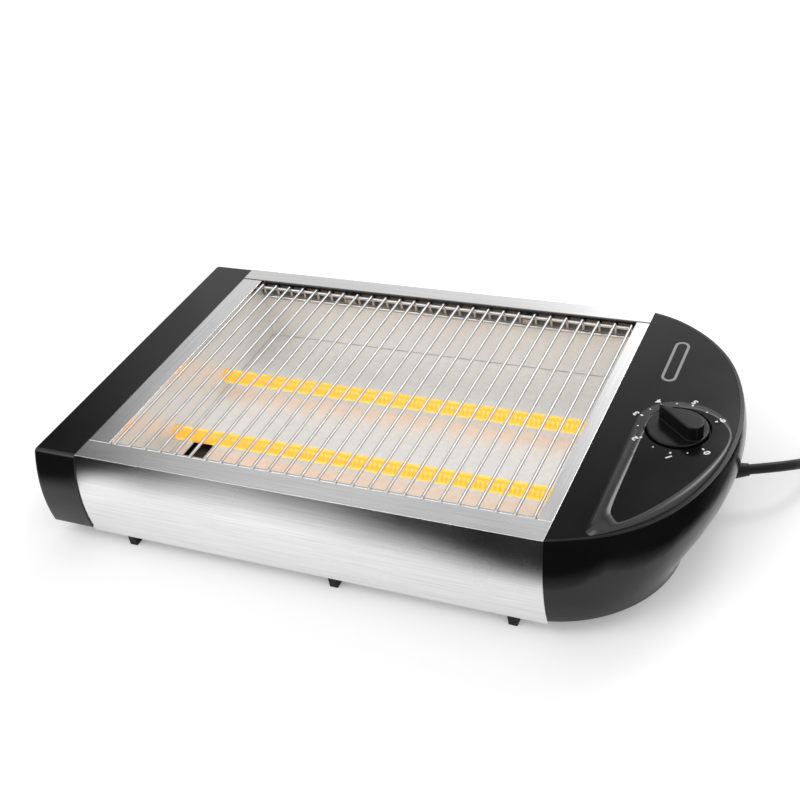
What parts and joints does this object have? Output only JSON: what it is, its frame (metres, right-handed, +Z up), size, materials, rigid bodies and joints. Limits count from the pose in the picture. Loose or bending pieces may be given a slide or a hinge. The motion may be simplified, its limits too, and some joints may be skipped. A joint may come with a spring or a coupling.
{
  "type": "toaster",
  "caption": "Flat open-rack toaster: wire rack over quartz heating tubes in a shallow steel body, plastic end cap, D-shaped control end with timer knob, crumb tray and mains lead.",
  "frame": {"origin": "on the table under the middle of the body, from the end of the left cap to the furthest point of the control housing", "axes": "+X along the body towards the control end, +Y to the rear, away from the viewer, +Z up"},
  "size_m": [0.5582, 0.2722, 0.0767],
  "materials": {
    "steel": "brushed lengthwise",
    "plate_steel": "plain zinc-coated sheet",
    "bright_steel": "bright reflecting sheet",
    "wire": "bright plated wire",
    "gloss_black": "moulded, glossy",
    "satin_black": "moulded, satin",
    "foot_rubber": "matt",
    "cord_rubber": "satin",
    "quartz": "clear fused quartz",
    "element": "glowing when hot",
    "ceramic": "unglazed",
    "fastener": "zinc plated",
    "brass": "turned",
    "timer_case": "moulded",
    "terminal_plastic": "moulded",
    "pin_metal": "nickel plated"
  },
  "bodies": {
    "housing": {"front_panel": "steel", "rear_panel": "steel", "left_rim": "steel", "right_rim": "steel", "left_end_cap": "gloss_black", "control_housing": "gloss_black", "control_cover": "gloss_black", "base_plate": "plate_steel", "feet": "foot_rubber", "base_screws": "fastener", "reflector": "bright_steel", "tray_guides": "plate_steel", "rack_rests": "plate_steel", "front_quartz_tube": "quartz", "rear_quartz_tube": "quartz", "front_heating_element": "element", "rear_heating_element": "element", "tube_holders": "ceramic", "left_tube_bracket": "plate_steel", "right_tube_bracket": "plate_steel", "heat_shield": "plate_steel", "thermal_cutout": "fastener", "timer_body": "timer_case", "timer_bell": "brass", "timer_screws": "fastener", "terminal_block": "terminal_plastic", "strain_relief": "cord_rubber", "power_cord": "cord_rubber", "cord_coil": "cord_rubber", "plug_body": "cord_rubber", "plug_pins": "pin_metal", "plug_earth_strips": "pin_metal"},
    "tray": {"crumb_tray": "bright_steel"},
    "rack": {"toast_rack": "wire"},
    "dial": {"timer_shaft": "fastener", "timer_knob": "satin_black"}
  },
  "joints": [
    {"name": "dial_turn", "type": "hinge", "parent": "housing", "child": "dial", "pos_m": [0.173, 0, 0.0663], "axis": [0.0628, 0, 0.998], "range_deg": [-118, 171]},
    {"name": "crumb_tray_slide", "type": "slide", "parent": "housing", "child": "tray", "axis": [0, 1, 0], "range_m": [0, 0.2]},
    {"name": "rack_lift", "type": "slide", "parent": "housing", "child": "rack", "axis": [0, 0, 1], "range_m": [0, 0.06]}
  ]
}
